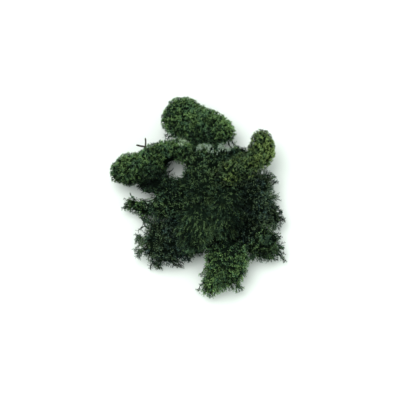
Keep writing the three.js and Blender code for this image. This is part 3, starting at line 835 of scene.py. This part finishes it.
def spread(points, gap, rng):
    """The indices of points that lie at least a gap apart, drawn in random order."""
    tree = tree_of(points)
    free = np.ones(len(points), bool)
    kept = []
    for index in rng.permutation(len(points)):
        if free[index]:
            kept.append(index)
            for _, other, _ in tree.find_range(points[index], gap):
                free[other] = False
    return np.array(kept, int)


def slow_waves(points, size, shift):
    """A soft pattern in space from -1 to 1, with waves of about a size."""
    x, y, z = (points * (2 * math.pi / size)).T
    waves = np.sin(x + 1.7 * np.sin(0.7 * y + shift)) + np.sin(1.1 * y - 0.8 * z + 2 * shift)
    return (waves + np.sin(0.9 * z + 0.6 * x - shift)) / 3


class Growth:
    """Copies of the patterns, gathered into one mesh for a tuft. Millimetres."""

    def __init__(self):
        self.points, self.faces, self.map, self.count = [], [], [], 0

    def put(self, points, faces, along, tone, hue=1):
        """Adds corners and triangles. On the map, each hue has a column of its own."""
        column = (hue + 0.03 + 0.94 * np.clip(along, 0, 1)) / HUES
        self.points.append(points)
        self.faces.append(faces + self.count)
        self.map.append(np.stack([column, np.clip(tone, 0.004, 0.996)], 1))
        self.count += len(points)

    def copy(self, pattern, feet, ways, lengths, widths, tones, hues, rng, low):
        """Copies a pattern to feet, along ways, with its own length, width and spin in every copy."""
        n = len(feet)
        if not n:
            return
        ways = unit(ways)
        side = unit(np.cross(ways, unit(rng.normal(size=(n, 3)))))
        other = np.cross(ways, side)
        shape = pattern.points
        sizes = np.stack([widths, widths, lengths / pattern.length], 1)
        local = shape[None] * sizes[:, None]
        bend = rng.normal(0, 0.05, (n, 2)) * lengths[:, None]
        share = np.clip(shape[:, 2] / pattern.length, 0, 1) ** 2
        local[:, :, :2] += bend[:, None] * share[None, :, None]
        places = local[:, :, :1] * side[:, None] + local[:, :, 1:2] * other[:, None]
        places = places + local[:, :, 2:] * ways[:, None] + feet[:, None]
        faces = pattern.faces[None] + (np.arange(n) * len(shape))[:, None, None]
        along = np.broadcast_to(low + (1 - low) * pattern.along, (n, len(shape)))
        tone = tones[:, None] + pattern.wobble[None]
        hue = np.repeat(hues, len(shape))
        self.put(places.reshape(-1, 3), faces.reshape(-1, 3), along.ravel(), tone.ravel(), hue)

    def plant(self, kind, kinds, lows, rng, **sprigs):
        """Copies the variants of a kind, by their numbers. lows is where on the map each copy starts."""
        for number, pattern in enumerate(PATTERNS[kind]):
            for low in np.unique(lows):
                at = (kinds == number) & (lows == low)
                self.copy(pattern, rng=rng, low=low, **{name: values[at] for name, values in sprigs.items()})

    def finish(self, name, material):
        """Makes the piece. Nothing of it goes below the table."""
        points = np.concatenate(self.points)
        points[:, 2] = np.maximum(points[:, 2], 0)
        faces = np.concatenate(self.faces)
        mesh = bpy.data.meshes.new(name)
        mesh.from_pydata(points * MM, (), faces, shade_flat=False)
        on_map = np.concatenate(self.map)
        layer = mesh.uv_layers.new(name=MAP)
        layer.uv.foreach_set("vector", on_map[faces.ravel()].astype(np.float32).ravel())
        mesh.materials.append(material)
        made = bpy.data.objects.new(name, mesh)
        bpy.context.scene.collection.objects.link(made)
        return made


def solid_of(name):
    """A CAD node's corners in millimetres and its triangles, with small triangles beside the gaps."""
    copy = bpy.data.objects.new("copy_of_" + name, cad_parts[name].data.copy())
    bpy.context.scene.collection.objects.link(copy)
    bpy.ops.object.select_all(action="DESELECT")
    copy.select_set(True)
    bpy.context.view_layer.objects.active = copy
    bpy.ops.object.mode_set(mode="EDIT")
    bpy.ops.mesh.select_all(action="SELECT")
    bpy.ops.mesh.remove_doubles(threshold=0.001 * MM)
    bpy.ops.mesh.select_mode(type="FACE")
    pick(copy.data, beside_a_gap)
    bpy.ops.mesh.subdivide(number_cuts=2)
    bpy.ops.mesh.select_all(action="SELECT")
    bpy.ops.mesh.quads_convert_to_tris()
    bpy.ops.object.mode_set(mode="OBJECT")
    return taken_out(copy)


def nearest_skin(points, name):
    """The nearest place on a tuft's lobes to each point, how far out that point is, and the lobe's centre."""
    best = np.full(len(points), np.inf)
    skin, centres = points.copy(), points.copy()
    for lobe in LOBES[name]:
        place = lobe.inwards(points)
        out = norms(points - place) * np.sign(lobe.depth(points) - 1)
        nearer = out < best
        best[nearer] = out[nearer]
        skin[nearer] = place[nearer]
        centres[nearer] = lobe.centre
    return skin, best, centres


def core(growth, name, points, faces):
    """The inside of a tuft, nearly black as painted shade and darker dye: the solid with its branches drawn
    in to short stumps.
    """
    tuft = TUFTS[name]
    skin, out, centres = nearest_skin(points, name)
    share = np.where(out > 0, STUMP, 1.0)
    outward = unit(skin - np.array([lobe.centre for lobe in LOBES[name]]).mean(0))
    grown = 1.3 - 2.4 * tuft.ragged
    drawn = step_aside(skin + (points - skin) * share[:, None] + grown * outward, centres)
    depth = np.clip(out / tuft.length, 0, 1)
    wobble = np.random.default_rng(len(points)).uniform(-0.02, 0.02, (2, len(points)))
    # The core takes the deep colour, painted shade, a little less dark where its stumps stand further out
    growth.put(drawn, faces, 0.03 + 0.12 * depth + np.abs(wobble[0]), tuft.tone + wobble[1])


def youth(points, tuft):
    """0 at a tuft's root and 1 at its far end, where the growth is young and pale."""
    return np.clip(norms(points - tuft.root) / tuft.reach, 0, 1)


def tones_at(points, tuft, rng, upward=0.6):
    """How pale the sprigs at points are. Those that face up get painted light, those that face sideways or
    down painted shade, and the soft spots add their painted shade and light. One in nine is a bright one.
    """
    soft = 0.08 * slow_waves(points, 17, tuft.tone) + 0.06 * slow_waves(points, 7, 2 * tuft.tone)
    soft += 0.08 * slow_waves(points, 3.4, 1.7)
    # Sprigs that face up are painted paler and those that face sideways or down darker: painted light from
    # above
    tones = tuft.tone + tuft.fade * (youth(points, tuft) - 0.6) + soft + 0.16 * (upward - 0.6)
    bright = 0.34 * (rng.uniform(0, 1, len(points)) < 0.11) - 0.015
    return np.clip(tones + shade_and_light_at(points) + bright + rng.normal(0, 0.15, len(points)), 0.03, 0.97)


def hues_at(points, tuft, tones, rng, pale=PAINTED_LIGHT_TONE):
    """Each sprig's hue (dry, plain, sea, ash or the pale hue of painted light in the creases), and the tones,
    with those of the painted light made pale.
    """
    drawn = 0.5 * slow_waves(points, 13, 3.3) + 0.4 * (0.6 - youth(points, tuft)) + 1.6 * (0.42 - tones)
    hues = np.digitize(drawn + rng.normal(0, 0.3, len(points)), (-0.5, 0.15, 0.44))
    hues = np.where(in_painted_light(points) & (rng.uniform(0, 1, len(points)) < PAINTED_LIGHT_SHARE), PAINTED_LIGHT_HUE, hues)
    return hues, np.where(hues == PAINTED_LIGHT_HUE, pale, tones)


def branch(growth, tuft, starts, stops, thick, rng, darker=0.1, girth=0.3):
    """Rods from starts to stops, with small sprigs on all but the first, four to a rod and one at its end.

    girth is how wide the sprigs are for their length.
    """
    ways = stops - starts
    pale = PAINTED_LIGHT_TONE - darker
    hues, tones = hues_at(starts, tuft, tones_at(starts, tuft, rng) - darker, rng, pale)
    rods = starts - 0.08 * ways, ways, 1.1 * norms(ways), thick
    growth.copy(PATTERNS["rod"][0], *rods, tones, hues, rng, low=0.3)
    shares = rng.uniform(0.1, 0.9, (len(ways) - 1, 4))
    feet = (starts[1:, None] + shares[:, :, None] * ways[1:, None]).reshape(-1, 3)
    out_ways = np.repeat(unit(ways[1:]), 4, axis=0) + rng.normal(0, 0.75, (len(feet), 3))
    feet = np.concatenate([feet, stops[1:] - 1.8 * unit(ways[1:])])
    out_ways = np.concatenate([out_ways, unit(ways[1:])])
    lengths = rng.uniform(1.4, 2.5, len(feet))
    ends = feet + unit(out_ways) * lengths[:, None]
    kept = ~(in_clear_air(ends) | (ends[:, 2] < 0.3))
    feet, out_ways, lengths = chosen(kept, feet, out_ways, lengths)
    hues, tones = hues_at(feet, tuft, tones_at(feet, tuft, rng) - darker, rng, pale)
    kinds = rng.integers(0, len(PATTERNS["lace"]), len(feet))
    growth.plant(
        "lace", kinds, np.full(len(feet), 0.2), rng, feet=feet, ways=out_ways, lengths=lengths,
        widths=girth * lengths, tones=tones, hues=hues,
    )


def stray_branches(growth, name, rng):
    """The thin dark branches that stray out of a tuft."""
    for line in STRAYS.get(name, ()):
        places = np.array(line, float)
        thick = np.linspace(3.1, 2.2, len(places) - 1)
        branch(growth, TUFTS[name], places[:-1], places[1:], thick, rng, darker=0.22, girth=0.62)


def joined_up(high, faces):
    """Numbers the groups of high corners that hang together by the edges of faces."""
    edges = np.unique(np.sort(faces[:, [0, 1, 1, 2, 2, 0]].reshape(-1, 2), axis=1), axis=0)
    edges = edges[high[edges].all(1)]
    group = np.arange(len(high))
    for _ in range(12):
        low = np.minimum(group[edges[:, 0]], group[edges[:, 1]])
        np.minimum.at(group, edges[:, 0], low)
        np.minimum.at(group, edges[:, 1], low)
    return group


def long_branches(growth, name, points, faces, rng):
    """Thin forked branches along the solid's own long ones, with small sprigs on them."""
    tuft = TUFTS[name]
    _, out, _ = nearest_skin(points, name)
    high = out > 0.9 * tuft.length
    group = joined_up(high, faces)
    for label in np.unique(group[high]):
        members = np.flatnonzero(high & (group == label))
        if out[members].max() < 1.3 * tuft.length:
            continue
        ends = members[out[members] > 0.7 * out[members].max()]
        ends = ends[spread(points[ends], 2.2, rng)]
        hub = points[members].mean(0)
        foot, _, _ = nearest_skin(hub[None], name)
        foot = foot[0] + 0.25 * (foot[0] - hub)
        knee = foot + 0.62 * tuft.branches * (hub - foot)
        starts, stops, thick = [foot], [knee], [2.6]
        for end in ends:
            tip = knee + tuft.branches * (points[end] - knee)
            elbow = knee + 0.55 * (tip - knee) + rng.normal(0, 0.3, 3)
            starts += [knee, elbow]
            stops += [elbow, tip]
            thick += [1.7, 1.2]
        branch(growth, tuft, np.array(starts), np.array(stops), np.array(thick), rng)


def feet_on(name, gap, rng):
    """Random places all over a tuft's lobes, their normals, and from 0 to 1 how deep in a crease they lie."""
    feet, normals, creases = [], [], []
    for lobe in LOBES[name]:
        found = lobe.scatter(gap, rng)
        others = [other for other in LOBES[name] if other is not lobe]
        for other in others:
            found = found[other.depth(found) >= 0.99]
        crease = np.zeros(len(found))
        for other in others:
            near = norms(found - other.inwards(found))
            crease = np.maximum(crease, np.clip(1 - near / CREASE, 0, 1) ** 2)
        feet.append(found)
        normals.append(lobe.normal(found))
        creases.append(crease)
    return np.concatenate(feet), np.concatenate(normals), np.concatenate(creases)


def sprig_ways(tuft, feet, normals, off, rng):
    """Out of the lobes and away from the root, fanned out round the middles of small bunches."""
    away = feet - tuft.spring
    away = unit(away) * np.clip(norms(away) / 20 - 0.2, 0, 1)[:, None]
    drift = np.stack([slow_waves(feet, 11, shift) for shift in (0.4, 2.1, 4.4)], 1)
    ways = normals + tuft.lean * away + tuft.loose * (0.55 * off + 0.5 * drift)
    return unit(ways + rng.normal(0, 0.36 + 0.3 * tuft.ragged, feet.shape))


def raggedness(tuft, normals):
    """How uneven the growth is: most on upright sides and not at all on top."""
    return tuft.ragged * (1 - np.abs(normals[:, 2]))


def sprig_lengths(tuft, feet, normals, creases, off, rng):
    """Longest in the middle of a bunch, in a crease and on top of a hump, and uneven at ragged sides."""
    edge = np.clip((off**2).sum(1), 0, 1.5)
    chance = np.clip(rng.normal(0, 0.12, len(feet)), -0.3, 0.16)
    lengths = tuft.length * (0.96 + 0.06 * tuft.loose - 0.22 * tuft.loose * edge + chance)
    lengths *= tuft.stretch * (1 + 0.09 * slow_waves(feet, 5, 0.7) + 0.12 * slow_waves(feet, 10, 2.2))
    lengths *= 1 + HEAVE * np.clip(normals[:, 2], 0, 1) * slow_waves(feet, 14, 1.9)
    lengths += FILL * creases
    lengths *= 0.86 + 0.14 * np.clip(normals[:, 2], -0.2, 1)
    return lengths * (1 + 0.5 * raggedness(tuft, normals) * slow_waves(feet, 6, 1.3))


def fitted(name, others, feet, ways, lengths):
    """Shortens sprigs that reach into another tuft, a gap or the table by fifths, and says which fit then."""
    for _ in range(4):
        ends = feet + ways * lengths[:, None]
        blocked = inside_any(ends, others) | (ends[:, 2] < 0.6) | in_clear_air(ends)
        lengths = np.where(blocked, lengths * 0.8, lengths)
    ends = feet + ways * lengths[:, None]
    fits = ~(inside_any(ends, others) | (ends[:, 2] < 0.4)) & (lengths > 0.35 * TUFTS[name].length)
    return lengths, fits & ~(in_clear_air(ends) | in_clear_air(feet + 0.6 * (ends - feet)))


def canopy(growth, name, kind, gap, rng):
    """The sprigs that cover a tuft, fewer on its underside."""
    tuft = TUFTS[name]
    others = [other for other in TUFTS if other != name]
    feet, normals, creases = feet_on(name, gap, rng)
    free = ~inside_any(feet, others, 0.2) & (feet[:, 2] > 0.8)
    feet, normals, creases = chosen(free, feet, normals, creases)
    kept = spread(feet, gap, rng)
    kept = kept[(normals[kept, 2] > UNDERSIDE[0]) | (rng.uniform(0, 1, len(kept)) < UNDERSIDE[1])]
    feet, normals, creases = chosen(kept, feet, normals, creases)
    middles = feet[spread(feet, BUNCH, rng)]
    tree = tree_of(middles)
    off = (feet - middles[[tree.find(foot)[1] for foot in feet]]) / BUNCH_REACH
    ways = sprig_ways(tuft, feet, normals, off, rng)
    lengths = sprig_lengths(tuft, feet, normals, creases, off, rng)
    lengths, kept = fitted(name, others, feet, ways, lengths)
    kept &= slow_waves(feet, 4.4, 2.9) > raggedness(tuft, normals) - 1
    feet, ways, lengths, upward = chosen(kept, feet, ways, lengths, np.clip(normals[:, 2], -0.2, 1))
    tips = feet + 0.85 * ways * lengths[:, None]
    hues, tones = hues_at(tips, tuft, tones_at(tips, tuft, rng, upward), rng)
    kinds = rng.integers(0, len(PATTERNS[kind]), len(feet))
    widths = rng.uniform(0.85, 1.15, len(feet)) * np.clip(lengths / tuft.length, 0.6, 1) / tuft.stretch
    # The pale sprigs of painted light start half way along the map, without a dark foot
    growth.plant(
        kind, kinds, np.where(hues == PAINTED_LIGHT_HUE, 0.5, 0.0), rng, feet=feet - SUNK * ways, ways=ways,
        lengths=lengths + SUNK, widths=widths, tones=tones, hues=hues,
    )


def grow(name, kind, gap, material):
    """Grows the piece that stands for a node: its core, its canopy and its branches."""
    rng = np.random.default_rng([SEED, list(TUFTS).index(name)])
    points, faces = solid_of(name)
    growth = Growth()
    core(growth, name, points, faces)
    canopy(growth, name, kind, gap, rng)
    long_branches(growth, name, points, faces, rng)
    stray_branches(growth, name, rng)
    made = growth.finish("moss_" + name, material)
    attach(made, "root")
    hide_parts(name)


class TuftMaker:
    """What the operators for tufts share: their tufts, the kind of sprig, and its share of the spacing."""

    bl_options = {"REGISTER", "UNDO"}
    names = ()
    kind = "head"
    share = 1.0

    def execute(self, context):
        sizes, colours = context.scene.moss_sizes, context.scene.moss_colours
        if not PATTERNS[self.kind]:
            raise RuntimeError("model the sprigs first")
        for name in self.names:
            material = moss_finish("dyed_" + name, colours.deep, getattr(colours, TUFTS[name].dye))
            grow(name, self.kind, self.share * sizes.spacing / MM, material)
        return {"FINISHED"}


class MOSS_OT_sprigs(bpy.types.Operator):
    """Model the sprigs that every tuft is grown from"""

    bl_idname = "moss.sprigs"
    bl_label = "Model Sprigs"

    def execute(self, context):
        sizes = context.scene.moss_sizes
        makers = {"head": head_sprig, "strand": strand_sprig, "lace": lace_sprig, "rod": bare_rod}
        for kind, maker in makers.items():
            PATTERNS[kind].clear()
            for index in range(1 if kind == "rod" else sizes.variants):
                made = maker(f"{kind}_sprig_{index}", sizes.thickness, Random(SEED + 31 * index))
                PATTERNS[kind].append(Pattern(made))
        return {"FINISHED"}


class MOSS_OT_heads(TuftMaker, bpy.types.Operator):
    """Grow the three close, domed heads"""

    bl_idname = "moss.heads"
    bl_label = "Grow Heads"
    names = HEADS
    share = 0.84


class MOSS_OT_upper_tufts(TuftMaker, bpy.types.Operator):
    """Grow the streaky tufts in the middle of the clump"""

    bl_idname = "moss.upper_tufts"
    bl_label = "Grow Upper Tufts"
    names = UPPER_TUFTS
    kind = "strand"


class MOSS_OT_outer_tufts(TuftMaker, bpy.types.Operator):
    """Grow the tufts round the edge of the clump"""

    bl_idname = "moss.outer_tufts"
    bl_label = "Grow Outer Tufts"
    names = OUTER_TUFTS
    kind = "lace"
    share = 1.1


class MOSS_OT_heart(TuftMaker, bpy.types.Operator):
    """Grow the dark heart that the clump rests on"""

    bl_idname = "moss.heart"
    bl_label = "Grow Heart"
    names = HEART
    kind = "lace"
    share = 1.35


def bare_twig(name, line, radius):
    """A seven-sided twig along a line, with a knot in the middle of each stretch."""
    places = [Vector(place) * MM for place in line]
    way = (places[1] - places[0]).normalized()
    bpy.ops.mesh.primitive_cylinder_add(
        vertices=7, radius=radius * MM, depth=0.4 * MM, location=places[0],
        rotation=way.to_track_quat("Z", "Y").to_euler(),
    )
    made = new_shape(name)
    (end,) = pick(made.data, lambda face: len(face.verts) == 7 and face.normal.dot(way) > 0.9)
    for place, share in zip(places[1:], (0.9, 0.85, 0.7)):
        knot = 0.45 * (place - end[0]) + Vector((0, 0, 0.1 * MM))
        _, end = draw_out(made.data, end, knot, 1.12)
        _, end = draw_out(made.data, end, place - end[0], share)
    bpy.ops.mesh.select_all(action="SELECT")
    bpy.ops.mesh.normals_make_consistent(inside=False)
    bpy.ops.mesh.sort_elements(type="CURSOR_DISTANCE", elements={"FACE"})
    bpy.ops.object.mode_set(mode="OBJECT")
    bpy.ops.object.shade_smooth_by_angle(angle=math.radians(40))
    made.select_set(False)
    return made


class MOSS_OT_twigs(bpy.types.Operator):
    """Lay the bare brown twigs that stick out of the left head"""

    bl_idname = "moss.twigs"
    bl_label = "Add Twigs"

    def execute(self, context):
        material = bark_finish(context.scene.moss_colours.bark)
        for name, (line, radius) in TWIGS.items():
            made = bare_twig(name, line, radius)
            made.data.materials.append(material)
            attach(made, "root")
        return {"FINISHED"}


def add_light(scene):
    """A wide soft lamp from above and a white room all round."""
    bpy.ops.object.light_add(type="SUN", rotation=(math.radians(-12), math.radians(-14), 0))
    lamp = added("window_light")
    lamp.data.energy = 1.9
    lamp.data.angle = math.radians(40)
    lamp.data.color = (0.95, 1.0, 0.96)
    scene.view_settings.view_transform = "Standard"
    scene.view_settings.look = "None"
    scene.world = bpy.data.worlds.new("white_room")
    scene.world.use_nodes = True
    background = scene.world.node_tree.nodes["Background"]
    background.inputs["Color"].default_value = (0.89, 1.0, 0.925, 1)
    background.inputs["Strength"].default_value = 1.0


def add_camera(height, width):
    """A camera with a long lens, tilted down by an angle, that takes in a width at the origin."""
    bpy.ops.object.camera_add()
    camera = added("camera")
    camera.data.lens = 300.0
    camera.data.sensor_width = 36.0
    far = width * camera.data.lens / camera.data.sensor_width
    camera.location = Vector((0, -math.cos(height), math.sin(height))) * far
    camera.rotation_euler = (math.pi / 2 - height, 0, 0)
    camera.data.clip_start, camera.data.clip_end = 0.1, 20.0
    return camera


class MOSS_OT_stage(bpy.types.Operator):
    """Set the white table, the light and the camera"""

    bl_idname = "moss.stage"
    bl_label = "Set Stage"

    def execute(self, context):
        sizes = context.scene.moss_sizes
        bpy.ops.mesh.primitive_plane_add(size=6.0)
        table = added("table")
        table.data.materials.append(table_finish(context.scene.moss_colours.table))
        add_light(context.scene)
        context.scene.camera = add_camera(sizes.camera_height, sizes.view_width)
        return {"FINISHED"}


STEPS = (
    MOSS_OT_sprigs, MOSS_OT_heads, MOSS_OT_upper_tufts, MOSS_OT_outer_tufts, MOSS_OT_heart, MOSS_OT_twigs,
    MOSS_OT_stage,
)


class MOSS_PT_panel(bpy.types.Panel):
    bl_label = "Reindeer Moss"
    bl_idname = "MOSS_PT_panel"
    bl_space_type = "VIEW_3D"
    bl_region_type = "UI"
    bl_category = "Moss"

    def draw(self, context):
        for group in (context.scene.moss_sizes, context.scene.moss_colours):
            for name in group.__annotations__:
                self.layout.prop(group, name)
        for step in STEPS:
            self.layout.operator(step.bl_idname)


CLASSES = (MossSizes, MossColours, *STEPS, MOSS_PT_panel)


def register():
    for made in CLASSES:
        bpy.utils.register_class(made)
    bpy.types.Scene.moss_sizes = PointerProperty(type=MossSizes)
    bpy.types.Scene.moss_colours = PointerProperty(type=MossColours)


def unregister():
    del bpy.types.Scene.moss_sizes
    del bpy.types.Scene.moss_colours
    for made in reversed(CLASSES):
        bpy.utils.unregister_class(made)


def main():
    register()
    bpy.ops.object.select_all(action="DESELECT")
    bpy.ops.moss.sprigs()
    bpy.ops.moss.heads()
    bpy.ops.moss.upper_tufts()
    bpy.ops.moss.outer_tufts()
    bpy.ops.moss.heart()
    bpy.ops.moss.twigs()
    bpy.ops.moss.stage()


if __name__ == "__main__":
    main()
